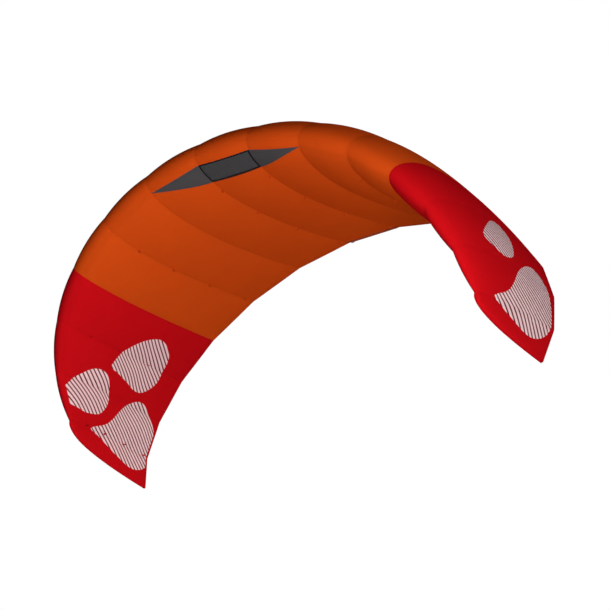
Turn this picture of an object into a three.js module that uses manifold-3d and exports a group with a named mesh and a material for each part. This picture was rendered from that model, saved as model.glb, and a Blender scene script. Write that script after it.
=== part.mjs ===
// A closed-cell foil kite for kitesurfing practice, in its inflated flying shape. Millimetres, +Z up.
//
// +X runs along the span to the right wing, +Y from the leading edge to the trailing edge.
// A place on the canopy is given by a station along the span (0 at mid-span, ribs at every half
// number, the flat tip edges at plus and minus 7.5) and by u around the rib's outline: -1 is the
// trailing edge on top, 0 the nose and +1 the trailing edge underneath, and u squared is the share
// of the chord. Skins lie outside that outline, and everything else is fitted to the same outline.

import * as THREE from 'three'
import { mergeVertices } from 'three/addons/utils/BufferGeometryUtils.js'
import Module from 'manifold-3d'

const wasm = await Module()
wasm.setup()

// --- Driving dimensions -------------------------------------------------------------------------

// Plan: the centre cell, and the shares lost towards the tips with span squared and span to the 4th.
const CENTRE_CELL_WIDTH = 290
const WIDTH_LOSS = [0.79, -0.333]
const CENTRE_CHORD = 1086
const CHORD_LOSS = [0.605, 0.068]
const SWEEP = [404, 112]

// Arch: degrees of tilt for each cell passed, at mid-span and growing with span and span squared.
const TILT_PER_CELL = [10.84, 2.89, 0.74]

// Rib profile: thickness as a share of the chord, camber and where it is highest, twist in degrees.
const THICKNESS = [0.219, -0.021, -0.218]
const CAMBER = 0.0095
const CAMBER_AT = 0.2
const TWIST = [3.08, -4.92]
const TWIST_CENTRE = 0.3

// Bulge of the skins between two ribs, as a share of the cell width, and how much it grows outwards.
const UPPER_BULGE = 0.05
const LOWER_BULGE = 0.025
const BULGE_GROWTH = 0.4
const BULGE_FADE = 0.4
const NOSE_BLEND = 0.35

// Wing tip: how fast the flat edge runs out from the nose, and how far its tail is pulled forward.
const TIP_CURVE = 0.42
const TIP_PULL = 46

// Cells, ribs and panels.
const CELLS_PER_WING = 7
const ORANGE_CELLS_PER_WING = 3
const SKIN = 1.2
const SKIN_LIFT = 0.2
const RIB = 1
const GAP = 0.3
const SEAM_AT = 0.0188
const SKIN_END = 0.985
const RIB_END = 0.97

// Cross-flow ports in each rib.
const PORTS_AT = [0.16, 0.36, 0.58]
const PORT_SHARE = 0.3

// Bridle tabs under every second rib: rows a, b and c, and the brake row by the trailing edge.
const TAB_ROWS = [0.17, 0.4, 0.66, 0.93]
const TAB_WIDTH = 10
const TAB_THICK = 3
const TAB_STANDOFF = 4
const TAB_LENGTH = 11
const TAB_EYE = 3.4
const TAB_ROOT = 8
const TAB_ROOT_INSET = 1

// Air inlet under the nose of the centre cell, its side panels and its one-way flap.
const INLET_REAR_AT = 0.1076
const BINDING = 8
const SIDE_BLUNT = 1.5
const SIDE_BOW = 1.2
const FLAP = 1
const FLAP_SIDE_CLEARANCE = 14
const FLAP_CORNER = 12
const FLAP_REST = 1.15

// Hems and tapes along the edges.
const HEM_EDGE = 2.6
const TIP_TAPE_WIDTH = 8
const TIP_TAPE_THICK = 3
const TIP_TAPE_GAP = 0.5
const TIP_START = 0.03

// Deflation zip in the trailing edge of the centre cell.
const COIL_RADIUS = 1.6
const SLIDER_CLEARANCE = 0.7
const WEB = 1.2
const COIL_END = 6
const SLIDER_LENGTH = 12
const SLIDER_WALL = 1.4
const SLIDER_PARK = 4
const EAR_THICK = 1.6
const EAR_ROOT = 1
const PIN_RADIUS = 0.9
const PULL_LENGTH = 22
const PULL_WIDTH = 7
const PULL_THICK = 1.6
const PULL_WALL = 1
const PULL_ANGLE = 26

// Mesh fineness.
const UPPER_STEPS = 14
const LOWER_STEPS = 9
const TIP_STEPS = 12
const SPAN_STEPS = 4
const RIB_STEPS = 26
const ARC_STEPS = 300
const INLET_STEPS = 4
const ROD_SIDES = 10
const CUT_OVERSHOOT = 1

// --- Materials ----------------------------------------------------------------------------------

const cloth = (colour) => new THREE.MeshStandardMaterial({ color: colour, roughness: 0.55, metalness: 0 })
const ORANGE = cloth('#d2500f')
const RED = cloth('#c40d18')
const GAUZE = cloth('#3a3a3b')
const GREY = cloth('#46444a')
const BLACK = cloth('#141416')
const ZIP_METAL = new THREE.MeshStandardMaterial({ color: '#8b8d92', roughness: 0.35, metalness: 0.9 })

// --- The wing's shape ---------------------------------------------------------------------------

const LAST_RIB = CELLS_PER_WING - 0.5
const TIP = CELLS_PER_WING + 0.5
const radians = THREE.MathUtils.degToRad
const lerp = THREE.MathUtils.lerp
const series = (start, factors, a) => start + factors[0] * a ** 2 + factors[1] * a ** 4

const widthAt = (station) => CENTRE_CELL_WIDTH * (1 - series(0, WIDTH_LOSS, station / TIP))
const chordAt = (station) => CENTRE_CHORD * (1 - series(0, CHORD_LOSS, station / TIP))
const sweepAt = (station) => series(0, SWEEP, station / TIP)
const thicknessAt = (station) => series(THICKNESS[0], THICKNESS.slice(1), station / TIP)
const twistAt = (station) => radians(TWIST[0] + TWIST[1] * (station / TIP) ** 2)

function tiltAt(station) {
  const a = station / TIP
  return radians(station * (TILT_PER_CELL[0] + TILT_PER_CELL[1] * a + TILT_PER_CELL[2] * a * a))
}

// The arch of the wing, added up from mid-span to the tip in small steps of span.
const arch = [[0, 0]]
for (let i = 0; i < ARC_STEPS; i++) {
  const middle = (TIP * (i + 0.5)) / ARC_STEPS
  const step = (widthAt(middle) * TIP) / ARC_STEPS
  const [x, z] = arch[i]
  arch.push([x + step * Math.cos(tiltAt(middle)), z - step * Math.sin(tiltAt(middle))])
}

function archPoint(station) {
  const place = (station / TIP) * ARC_STEPS
  const i = Math.min(Math.floor(place), ARC_STEPS - 1)
  return [0, 1].map((k) => lerp(arch[i][k], arch[i + 1][k], place - i))
}

// Half the profile's thickness, as a share of the chord: a round nose and a sharp tail.
function halfProfile(x, thickness) {
  const shape = 0.2969 * Math.sqrt(x) - 0.126 * x - 0.3516 * x ** 2 + 0.2843 * x ** 3 - 0.1036 * x ** 4
  return 5 * thickness * shape
}

function camberLine(x) {
  const before = (CAMBER / CAMBER_AT ** 2) * (2 * CAMBER_AT * x - x * x)
  const after = (CAMBER / (1 - CAMBER_AT) ** 2) * (1 - 2 * CAMBER_AT + 2 * CAMBER_AT * x - x * x)
  return x < CAMBER_AT ? before : after
}

// A point of the outline in the plane of its rib: distance aft and height, in millimetres.
function outline(station, u, fullness) {
  const rib = Math.min(station, LAST_RIB)
  const chord = chordAt(rib)
  const x = u * u
  const height = camberLine(x) - Math.sign(u) * halfProfile(x, thicknessAt(rib)) * fullness
  const twist = (x - TWIST_CENTRE) * Math.sin(twistAt(rib))
  return [sweepAt(rib) + chord * x - TIP_PULL * (station - rib) * x, (height - twist) * chord]
}

// The same point, moved outwards by grow.
function grownOutline(station, u, grow, fullness = 1) {
  const small = 1e-4
  const before = outline(station, u - small, fullness)
  const after = outline(station, u + small, fullness)
  const along = [after[0] - before[0], after[1] - before[1]]
  const length = Math.hypot(...along)
  const [aft, height] = outline(station, u, fullness)
  return [aft + (grow * along[1]) / length, height - (grow * along[0]) / length]
}

// A point of a rib's outline, or of the flat tip edge, in space.
function edgePoint(station, u, grow, fullness = 1) {
  const side = station < 0 ? -1 : 1
  const distance = Math.abs(station)
  const beyond = Math.max(distance - LAST_RIB, 0)
  const at = beyond > 0 ? LAST_RIB + beyond * (u * u) ** TIP_CURVE : distance
  const [aft, height] = grownOutline(distance, u, grow, fullness)
  const [x, z] = archPoint(at)
  const tilt = tiltAt(at)
  return new THREE.Vector3(side * (x + height * Math.sin(tilt)), aft, z + height * Math.cos(tilt))
}

// How far a skin swells out between its two ribs. The flat tip cells don't swell.
function bulge(cell, f, u) {
  if (Math.abs(cell) === CELLS_PER_WING) return 0
  const under = THREE.MathUtils.smoothstep(u, -NOSE_BLEND, NOSE_BLEND)
  const share = lerp(UPPER_BULGE, LOWER_BULGE, under) * Math.max(1 - u * u, 0) ** BULGE_FADE
  const growth = 1 + BULGE_GROWTH * (cell / CELLS_PER_WING) ** 2
  return widthAt(cell) * share * growth * 4 * f * (1 - f)
}

// A point of a cell's skin: f is 0 on its left rib and 1 on its right rib.
function skinPoint(cell, f, u, grow) {
  const out = grow + bulge(cell, f, u)
  const toTip = cell > 0 ? f : 1 - f
  const fullness = Math.abs(cell) === CELLS_PER_WING ? Math.sqrt(Math.max(1 - toTip * toTip, 0)) : 1
  const left = edgePoint(cell - 0.5, u, out, fullness)
  return left.lerp(edgePoint(cell + 0.5, u, out, fullness), f)
}

// Where a skin may reach in f: up to the faces of its ribs, or to the tip edge.
function spanLimits(cell, u, clear = RIB / 2 + GAP) {
  const reach = edgePoint(cell - 0.5, u, 0).distanceTo(edgePoint(cell + 0.5, u, 0))
  const inset = clear / reach
  return [cell === -CELLS_PER_WING ? 0 : inset, cell === CELLS_PER_WING ? 1 : 1 - inset]
}

// The u that lies a distance further round the outline.
function shifted(station, u, distance) {
  const small = 1e-3
  const here = new THREE.Vector2(...outline(Math.abs(station), u - small, 1))
  const there = new THREE.Vector2(...outline(Math.abs(station), u + small, 1))
  return u + (distance * 2 * small) / here.distanceTo(there)
}

// --- Solids -------------------------------------------------------------------------------------

const kite = new THREE.Group()

function add(name, geometry, material) {
  const mesh = new THREE.Mesh(geometry, material)
  mesh.name = name
  kite.add(mesh)
  return mesh
}

function geometryFrom(points, triangles) {
  const geometry = new THREE.BufferGeometry()
  geometry.setAttribute('position', new THREE.Float32BufferAttribute(points.flatMap((p) => p.toArray()), 3))
  geometry.setIndex(triangles.flat())
  geometry.computeVertexNormals()
  return geometry
}

// A closed sheet with thickness: at(i, j, side) is its inner (side 0) or outer (side 1) surface.
function sheet(rows, columns, at, kept = () => true) {
  const points = []
  const triangles = []
  const index = (i, j, side) => (side * (rows + 1) + i) * (columns + 1) + j
  for (const side of [0, 1]) {
    for (let i = 0; i <= rows; i++) for (let j = 0; j <= columns; j++) points.push(at(i, j, side))
  }
  const has = (i, j) => i >= 0 && j >= 0 && i < rows && j < columns && kept(i, j)
  const wall = (a, b) => {
    triangles.push([index(...b, 1), index(...a, 1), index(...a, 0)])
    triangles.push([index(...b, 1), index(...a, 0), index(...b, 0)])
  }
  for (let i = 0; i < rows; i++) {
    for (let j = 0; j < columns; j++) {
      if (!has(i, j)) continue
      const [a, b, c, d] = [[i, j], [i + 1, j], [i + 1, j + 1], [i, j + 1]]
      triangles.push([index(...a, 1), index(...b, 1), index(...c, 1)])
      triangles.push([index(...a, 1), index(...c, 1), index(...d, 1)])
      triangles.push([index(...a, 0), index(...c, 0), index(...b, 0)])
      triangles.push([index(...a, 0), index(...d, 0), index(...c, 0)])
      if (!has(i, j - 1)) wall(a, b)
      if (!has(i + 1, j)) wall(b, c)
      if (!has(i, j + 1)) wall(c, d)
      if (!has(i - 1, j)) wall(d, a)
    }
  }
  const used = [...new Set(triangles.flat())].sort((a, b) => a - b)
  const renumbered = new Map(used.map((old, k) => [old, k]))
  return geometryFrom(used.map((k) => points[k]), triangles.map((t) => t.map((k) => renumbered.get(k))))
}

// A bar through four-cornered sections that run towards +X or +Y.
function loft(sections) {
  const corners = sections[0].length
  const triangles = []
  for (let s = 0; s + 1 < sections.length; s++) {
    for (let k = 0; k < corners; k++) {
      const next = (k + 1) % corners
      const [a, b] = [s * corners + k, s * corners + next]
      triangles.push([a, b, b + corners], [a, b + corners, a + corners])
    }
  }
  const last = (sections.length - 1) * corners
  for (let k = 1; k + 1 < corners; k++) {
    triangles.push([0, k + 1, k], [last, last + k, last + k + 1])
  }
  return geometryFrom(sections.flat(), triangles)
}

// The same solid on the other side of the kite's middle plane.
function mirrored(geometry) {
  const copy = geometry.clone().scale(-1, 1, 1)
  const order = copy.index.array
  for (let k = 0; k < order.length; k += 3) [order[k], order[k + 1]] = [order[k + 1], order[k]]
  copy.computeVertexNormals()
  return copy
}

function toSolid(geometry) {
  const bare = geometry.clone()
  bare.deleteAttribute('normal')
  bare.deleteAttribute('uv')
  const merged = mergeVertices(bare)
  const vertProperties = new Float32Array(merged.attributes.position.array)
  const triVerts = new Uint32Array(merged.index.array)
  return new wasm.Manifold(new wasm.Mesh({ numProp: 3, vertProperties, triVerts }))
}

function toGeometry(solid) {
  const { vertProperties, triVerts } = solid.getMesh()
  const geometry = new THREE.BufferGeometry()
  geometry.setAttribute('position', new THREE.BufferAttribute(vertProperties, 3))
  geometry.setIndex(new THREE.BufferAttribute(triVerts, 1))
  geometry.computeVertexNormals()
  return geometry
}

const unite = (...pieces) => toGeometry(pieces.map(toSolid).reduce((whole, piece) => whole.add(piece)))
const cut = (piece, ...tools) => {
  return toGeometry(tools.map(toSolid).reduce((whole, tool) => whole.subtract(tool), toSolid(piece)))
}

// --- Names and colours along the span -----------------------------------------------------------

const sideOf = (station) => (station < 0 ? 'left' : 'right')
const cellName = (cell) => (cell === 0 ? 'centre' : `${sideOf(cell)}_${Math.abs(cell)}`)
const ribName = (station) => `${sideOf(station)}_${Math.abs(station) + 0.5}`
const cellCloth = (cell) => (Math.abs(cell) <= ORANGE_CELLS_PER_WING ? ORANGE : RED)

const cells = []
for (let cell = -CELLS_PER_WING; cell <= CELLS_PER_WING; cell++) cells.push(cell)
const ribs = cells.slice(1).map((cell) => cell - 0.5)

// --- Skins --------------------------------------------------------------------------------------

const SKIN_OUTSIDE = SKIN_LIFT + SKIN
const U_SEAM = Math.sqrt(SEAM_AT)
const U_END = Math.sqrt(SKIN_END)
const U_INLET_REAR = Math.sqrt(INLET_REAR_AT)

// A sewn panel of one cell between two lines u0(f) and u1(f).
function panel(cell, steps, u0, u1) {
  return sheet(steps, SPAN_STEPS, (i, j, side) => {
    const rough = j / SPAN_STEPS
    const u = lerp(u0(rough), u1(rough), i / steps)
    const [low, high] = spanLimits(cell, u)
    return skinPoint(cell, lerp(low, high, rough), u, side ? SKIN_OUTSIDE : SKIN_LIFT)
  })
}

// The rear line of the grey panels beside the inlet, which run out to a point at the next rib.
function sideRear(cell, f) {
  const out = cell > 0 ? f : 1 - f
  return lerp(U_INLET_REAR, shifted(1, U_SEAM, GAP + SIDE_BLUNT), out ** SIDE_BOW)
}

// The front line of the lower panels: behind the inlet in the middle, at the nose seam elsewhere.
function lowerFront(cell, f) {
  if (cell === 0) return U_INLET_REAR
  return Math.abs(cell) === 1 ? sideRear(cell, f) : U_SEAM
}

for (const cell of cells) {
  const isTip = Math.abs(cell) === CELLS_PER_WING
  const upperEnd = isTip ? -TIP_START : U_SEAM
  const upper = panel(cell, isTip ? TIP_STEPS : UPPER_STEPS, () => -U_END, () => upperEnd)
  add(`upper_panel_${cellName(cell)}`, upper, cellCloth(cell))
  const front = (f) => (isTip ? TIP_START : shifted(cell, lowerFront(cell, f), GAP))
  const lower = panel(cell, isTip ? TIP_STEPS : LOWER_STEPS, front, () => U_END)
  add(`lower_panel_${cellName(cell)}`, lower, cellCloth(cell))
}

// --- Ribs, with their ports and bridle tabs ------------------------------------------------------

const tabbed = (station) => (Math.abs(station) + 0.5) % 2 === 1

// A tab's eye hangs below the underside of the skin, in the plane of its rib.
function tabEye(station, row) {
  const [aft, height] = grownOutline(Math.abs(station), Math.sqrt(row), SKIN_OUTSIDE)
  return [aft, height - TAB_STANDOFF - TAB_LENGTH + TAB_WIDTH / 2]
}

function extruded(shape, depth, curveSegments) {
  const geometry = new THREE.ExtrudeGeometry(shape, { depth, bevelEnabled: false, curveSegments })
  return geometry.translate(0, 0, -depth / 2)
}

function roundHole(x, y, radius) {
  const hole = new THREE.Path()
  hole.absarc(x, y, radius, 0, 2 * Math.PI, true)
  return hole
}

function ribPlate(station) {
  const shape = new THREE.Shape()
  const end = Math.sqrt(RIB_END)
  for (let i = 0; i <= RIB_STEPS; i++) {
    const [aft, height] = grownOutline(station, lerp(-end, end, i / RIB_STEPS), SKIN_OUTSIDE)
    if (i === 0) shape.moveTo(aft, height)
    else shape.lineTo(aft, height)
  }
  shape.closePath()
  for (const place of PORTS_AT) {
    const [aft, top] = outline(station, -Math.sqrt(place), 1)
    const [, bottom] = outline(station, Math.sqrt(place), 1)
    shape.holes.push(roundHole(aft, (top + bottom) / 2, (top - bottom) * PORT_SHARE))
  }
  return extruded(shape, RIB, 6)
}

function tabParts(station, row) {
  const [aft, height] = tabEye(station, row)
  const top = height + TAB_LENGTH - TAB_WIDTH / 2
  const lug = new THREE.Shape()
  lug.moveTo(aft - TAB_WIDTH / 2, top)
  lug.absarc(aft, height, TAB_WIDTH / 2, Math.PI, 2 * Math.PI, false)
  lug.lineTo(aft + TAB_WIDTH / 2, top)
  lug.closePath()
  lug.holes.push(roundHole(aft, height, TAB_EYE / 2))
  const rootHeight = TAB_STANDOFF + TAB_ROOT
  const root = new THREE.BoxGeometry(TAB_WIDTH - 2 * TAB_ROOT_INSET, rootHeight, RIB)
  root.translate(aft, top + rootHeight / 2 - TAB_ROOT_INSET, 0)
  return [extruded(lug, TAB_THICK, 4), root]
}

// A rib's own frame: aft, up across the rib, and out along the span.
function ribFrame(station) {
  const tilt = tiltAt(Math.abs(station)) * Math.sign(station)
  const up = new THREE.Vector3(Math.sin(tilt), 0, Math.cos(tilt))
  const along = new THREE.Vector3(Math.cos(tilt), 0, -Math.sin(tilt))
  const [x, z] = archPoint(Math.abs(station))
  const basis = new THREE.Matrix4().makeBasis(new THREE.Vector3(0, 1, 0), up, along)
  return basis.setPosition(x * Math.sign(station), 0, z)
}

for (const station of ribs) {
  const plate = ribPlate(Math.abs(station))
  const tabs = tabbed(station) ? TAB_ROWS.flatMap((row) => tabParts(station, row)) : []
  const material = Math.abs(station) < ORANGE_CELLS_PER_WING + 1 ? ORANGE : RED
  const rib = add(`rib_${ribName(station)}`, tabs.length ? unite(plate, ...tabs) : plate, material)
  const frame = ribFrame(station)
  rib.quaternion.setFromRotationMatrix(frame)
  rib.position.setFromMatrixPosition(frame)
}

// --- Air inlet -----------------------------------------------------------------------------------

const borderCell = (i, j) => i === 0 || j === 0 || i === INLET_STEPS + 1 || j === INLET_STEPS + 1

// Grid lines across the inlet: the two edges of the binding, and even steps between them.
function inletLine(k, low, high, border) {
  if (k === 0) return low
  if (k === INLET_STEPS + 2) return high
  return lerp(low + border, high - border, (k - 1) / INLET_STEPS)
}

const inletFront = shifted(0.5, U_SEAM, GAP)
const inletRear = shifted(0.5, U_INLET_REAR, 0)
const inletSpan = spanLimits(0, U_SEAM)
const bindingU = (BINDING * (inletRear - inletFront)) / skinPoint(0, 0, inletFront, 0).distanceTo(
  skinPoint(0, 0, inletRear, 0))
const bindingF = BINDING / widthAt(0)

add('inlet_binding', sheet(INLET_STEPS + 2, INLET_STEPS + 2, (i, j, side) => {
  const u = inletLine(i, inletFront, inletRear, bindingU)
  return skinPoint(0, inletLine(j, ...inletSpan, bindingF), u, side ? SKIN_OUTSIDE : SKIN_LIFT)
}, borderCell), BLACK)

const gauzeGapU = (GAP * bindingU) / BINDING
const gauzeGapF = GAP / widthAt(0)
add('inlet_gauze', sheet(INLET_STEPS, INLET_STEPS, (i, j, side) => {
  const u = lerp(inletFront + bindingU + gauzeGapU, inletRear - bindingU - gauzeGapU, i / INLET_STEPS)
  const low = inletSpan[0] + bindingF + gauzeGapF
  return skinPoint(0, lerp(low, 1 - low, j / INLET_STEPS), u, side ? SKIN_OUTSIDE : SKIN_LIFT)
}), GAUZE)

for (const cell of [-1, 1]) {
  const front = () => shifted(cell, U_SEAM, GAP)
  add(`inlet_side_${sideOf(cell)}`, panel(cell, 3, front, (f) => sideRear(cell, f)), GREY)
}

// The flap lies inside on the binding, hinged along the inlet's rear edge.
const flapEdge = FLAP_SIDE_CLEARANCE / widthAt(0)
const flapDepth = SKIN_LIFT - FLAP_REST - FLAP / 2
const flapHinge = skinPoint(0, flapEdge, inletRear - bindingU / 2, flapDepth)
const flapFront = skinPoint(0, flapEdge, inletFront + bindingU / 2, flapDepth)
const flapLength = Math.hypot(flapFront.y - flapHinge.y, flapFront.z - flapHinge.z)
const flapWidth = widthAt(0) - 2 * FLAP_SIDE_CLEARANCE

const flapShape = new THREE.Shape()
flapShape.moveTo(-flapWidth / 2, 0)
flapShape.lineTo(flapWidth / 2, 0)
flapShape.absarc(flapWidth / 2 - FLAP_CORNER, flapLength - FLAP_CORNER, FLAP_CORNER, 0, Math.PI / 2, false)
const flapCorner = [FLAP_CORNER - flapWidth / 2, flapLength - FLAP_CORNER]
flapShape.absarc(...flapCorner, FLAP_CORNER, Math.PI / 2, Math.PI, false)
flapShape.closePath()
const flap = add('inlet_flap', extruded(flapShape, FLAP, 5), GREY)
flap.position.set(0, flapHinge.y, flapHinge.z)
flap.rotation.x = Math.atan2(flapFront.z - flapHinge.z, flapFront.y - flapHinge.y)

// --- Trailing-edge hems and tip tapes --------------------------------------------------------------

// A hem closes the trailing edge: as deep as the skins at its front and thin at its rear.
function hemSection(cell, f) {
  const distance = Math.abs(cell) + 0.5
  const uFront = shifted(distance, U_END, GAP)
  const rear = (side) => skinPoint(cell, f, side, HEM_EDGE / 2)
  const front = (side) => skinPoint(cell, f, side * uFront, SKIN_OUTSIDE)
  return [rear(-1), front(-1), front(1), rear(1)]
}

function hem(wing) {
  const sections = []
  for (const cell of wing) {
    const [low, high] = spanLimits(cell, U_END)
    for (let j = 0; j <= SPAN_STEPS; j++) sections.push(hemSection(cell, lerp(low, high, j / SPAN_STEPS)))
  }
  return loft(sections)
}

add('trailing_edge_hem_left', hem(cells.filter((cell) => cell < 0)), RED)
add('trailing_edge_hem_right', hem(cells.filter((cell) => cell > 0)), RED)

// The tape that closes a tip runs round the flat edge from the nose to the trailing edge.
function tipTape() {
  const small = 1e-3
  const sections = []
  for (let k = 0; k <= TIP_STEPS; k++) {
    const u = lerp(TIP_START, U_END, k / TIP_STEPS)
    const here = edgePoint(TIP, u, 0, 0)
    const along = edgePoint(TIP, u + small, 0, 0).sub(edgePoint(TIP, u - small, 0, 0)).normalize()
    const tilt = tiltAt(LAST_RIB + (u * u) ** TIP_CURVE)
    const up = new THREE.Vector3(Math.sin(tilt), 0, Math.cos(tilt))
    const out = along.clone().cross(up).normalize()
    const corner = (reach, height) => here.clone().addScaledVector(out, reach).addScaledVector(up, height)
    const [near, half] = [TIP_TAPE_GAP, TIP_TAPE_THICK / 2]
    const far = near + TIP_TAPE_WIDTH
    sections.push([corner(near, half), corner(far, half), corner(far, -half), corner(near, -half)])
  }
  return loft(sections)
}

add('tip_tape_right', tipTape(), RED)
add('tip_tape_left', mirrored(tipTape()), RED)

// --- Deflation zip ---------------------------------------------------------------------------------

// The coil stands behind the hem by half the slider that runs along it, and a clearance.
const zipEdge = edgePoint(0.5, 1, 0)
const bore = COIL_RADIUS + GAP
const sliderSide = 2 * (bore + SLIDER_WALL)
const coilSetback = sliderSide / 2 + SLIDER_CLEARANCE
const coilY = zipEdge.y + coilSetback
const coilLength = 2 * (zipEdge.x - RIB / 2 - GAP - COIL_END)

function alongX(radius, length) {
  return new THREE.CylinderGeometry(radius, radius, length, ROD_SIDES).rotateZ(Math.PI / 2)
}

const box = (x, y, z, cx, cy, cz) => new THREE.BoxGeometry(x, y, z).translate(cx, cy, cz)

const zipSections = []
for (let j = 0; j <= SPAN_STEPS; j++) {
  zipSections.push(hemSection(0, lerp(...spanLimits(0, U_END), j / SPAN_STEPS)))
}
const coil = alongX(COIL_RADIUS, coilLength).translate(0, coilY, zipEdge.z)
const web = box(coilLength, coilSetback + WEB, WEB, 0, coilY - (coilSetback + WEB) / 2, zipEdge.z)
add('zip_tape', unite(loft(zipSections), web, coil), ORANGE)

// The slider clasps the coil and carries two ears with a pin on its back, on which the pull turns.
const sliderX = -coilLength / 2 + SLIDER_PARK + SLIDER_LENGTH / 2
const sliderBack = zipEdge.z + sliderSide / 2
const pullEye = PIN_RADIUS + GAP
const pullRound = pullEye + PULL_WALL
const pinZ = sliderBack + pullRound + GAP
const earGap = PULL_WIDTH / 2 + GAP
const earHeight = pinZ + PIN_RADIUS + PULL_WALL - sliderBack + EAR_ROOT
const sliderBlock = box(SLIDER_LENGTH, sliderSide, sliderSide, 0, coilY, zipEdge.z)
const ears = [-1, 1].map((side) => {
  const across = side * (earGap + EAR_THICK / 2)
  return box(EAR_THICK, 2 * pullRound, earHeight, across, coilY, sliderBack - EAR_ROOT + earHeight / 2)
})
const pin = alongX(PIN_RADIUS, 2 * earGap + EAR_THICK).translate(0, coilY, pinZ)
const cutLength = SLIDER_LENGTH + 2 * CUT_OVERSHOOT
const channel = alongX(bore, cutLength).translate(0, coilY, zipEdge.z)
const throat = box(cutLength, sliderSide, WEB + 2 * GAP, 0, coilY - sliderSide / 2, zipEdge.z)
const slider = add('zip_slider', unite(cut(sliderBlock, channel, throat), ...ears, pin), ZIP_METAL)
slider.position.x = sliderX

// The pull lies forward over the upper skin, a little above it.
const stem = Math.asin(PULL_THICK / 2 / pullRound)
const pullShape = new THREE.Shape()
pullShape.absarc(0, 0, pullRound, stem - Math.PI / 2, 1.5 * Math.PI - stem, false)
pullShape.lineTo(-PULL_THICK / 2, -PULL_LENGTH)
pullShape.lineTo(PULL_THICK / 2, -PULL_LENGTH)
pullShape.closePath()
pullShape.holes.push(roundHole(0, 0, pullEye))
const pull = add('zip_pull', extruded(pullShape, PULL_WIDTH, 6), RED)
const [pullRun, pullRise] = [Math.cos(radians(PULL_ANGLE)), Math.sin(radians(PULL_ANGLE))]
const pullAxes = [[0, -pullRise, -pullRun], [0, pullRun, -pullRise], [1, 0, 0]]
const pullFrame = new THREE.Matrix4().makeBasis(...pullAxes.map((axis) => new THREE.Vector3(...axis)))
pull.quaternion.setFromRotationMatrix(pullFrame)
pull.position.set(sliderX, coilY, pinZ)

// --- Origin: half way between the two middle front tabs --------------------------------------------

const [tabAft, tabHeight] = tabEye(0.5, TAB_ROWS[0])
const frontTab = new THREE.Vector3(tabAft, tabHeight, 0).applyMatrix4(ribFrame(0.5))
kite.position.set(0, -frontTab.y, -frontTab.z)

const part = new THREE.Group()
part.add(kite)

export default part
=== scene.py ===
# %% [markdown]
# # A foil kite for learners
# This lesson dresses a closed-cell foil kite, the kind that teaches kitesurfing on dry land. The real
# one is sewn from thin ripstop cloth: fifteen cells side by side, each with an upper and a lower skin
# over shaped ribs, blown up through a gauze inlet under the nose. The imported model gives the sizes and
# the moving bodies, and everything made here is fitted to it. Lengths are in metres, +X runs along the
# span, +Y from the nose to the trailing edge and +Z up.

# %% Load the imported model
import math

import bmesh
import bpy
from mathutils import Matrix, Vector, noise


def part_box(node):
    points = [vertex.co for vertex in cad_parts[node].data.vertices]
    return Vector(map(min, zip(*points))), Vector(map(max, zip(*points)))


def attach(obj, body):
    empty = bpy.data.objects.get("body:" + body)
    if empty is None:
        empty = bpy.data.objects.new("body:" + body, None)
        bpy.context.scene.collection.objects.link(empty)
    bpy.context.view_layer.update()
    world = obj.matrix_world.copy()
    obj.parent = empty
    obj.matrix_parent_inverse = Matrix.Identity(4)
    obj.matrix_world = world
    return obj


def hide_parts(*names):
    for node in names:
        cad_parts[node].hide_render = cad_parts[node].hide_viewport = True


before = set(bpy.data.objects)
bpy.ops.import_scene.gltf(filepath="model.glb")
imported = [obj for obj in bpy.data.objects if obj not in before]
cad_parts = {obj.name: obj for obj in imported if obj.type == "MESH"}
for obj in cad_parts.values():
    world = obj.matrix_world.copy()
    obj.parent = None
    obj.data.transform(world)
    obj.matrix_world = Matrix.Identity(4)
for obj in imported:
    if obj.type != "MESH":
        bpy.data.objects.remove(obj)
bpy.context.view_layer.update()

# %% [markdown]
# ## Camera
# The kite hangs in the sky, and the viewer stands in front of its right wing and looks up at it. A
# long lens far away shows almost no perspective, so an orthographic camera is the plain choice: it
# looks along one direction and its scale is the width of the view.

# %% Camera
VIEW_AZIMUTH = 38.66
VIEW_ELEVATION = -23.27
VIEW_CENTRE = Vector((0.0063, 0.4031, -0.4424))
VIEW_WIDTH = 2.683
VIEW_DISTANCE = 6.0

scene = bpy.context.scene


def new_object(name, data):
    made = bpy.data.objects.new(name, data)
    scene.collection.objects.link(made)
    return made


def look_from(thing, azimuth, elevation, distance):
    """Puts a camera or lamp so many degrees round from the front and up, looking at the kite."""
    a, e = math.radians(azimuth), math.radians(elevation)
    away = Vector((math.sin(a) * math.cos(e), -math.cos(a) * math.cos(e), math.sin(e)))
    thing.location = VIEW_CENTRE + away * distance
    thing.rotation_mode = "QUATERNION"
    thing.rotation_quaternion = (-away).to_track_quat("-Z", "Y")


camera_data = bpy.data.cameras.new("viewer")
camera_data.type = "ORTHO"
camera_data.ortho_scale = VIEW_WIDTH
camera = new_object("viewer", camera_data)
look_from(camera, VIEW_AZIMUTH, VIEW_ELEVATION, VIEW_DISTANCE)
bpy.context.scene.camera = camera
print("camera at", tuple(round(c, 2) for c in camera.location))

# %% [markdown]
# ## Light and background
# Thin cloth shows its shape through soft shading. The key is a wide lamp beside the viewer, so cloth
# that faces the viewer is bright and cloth that turns away goes dark. Two lamps behind and above
# light the top, weaker ones light the nose and the far side, and a faint light comes from all round.
# Each lamp is given by its direction in degrees, round and up, its level and its size. The background
# is white only where the camera, a gloss or a clear piece looks at it, so it never washes out the
# colours. A pale floor lies well below the kite.

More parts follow.
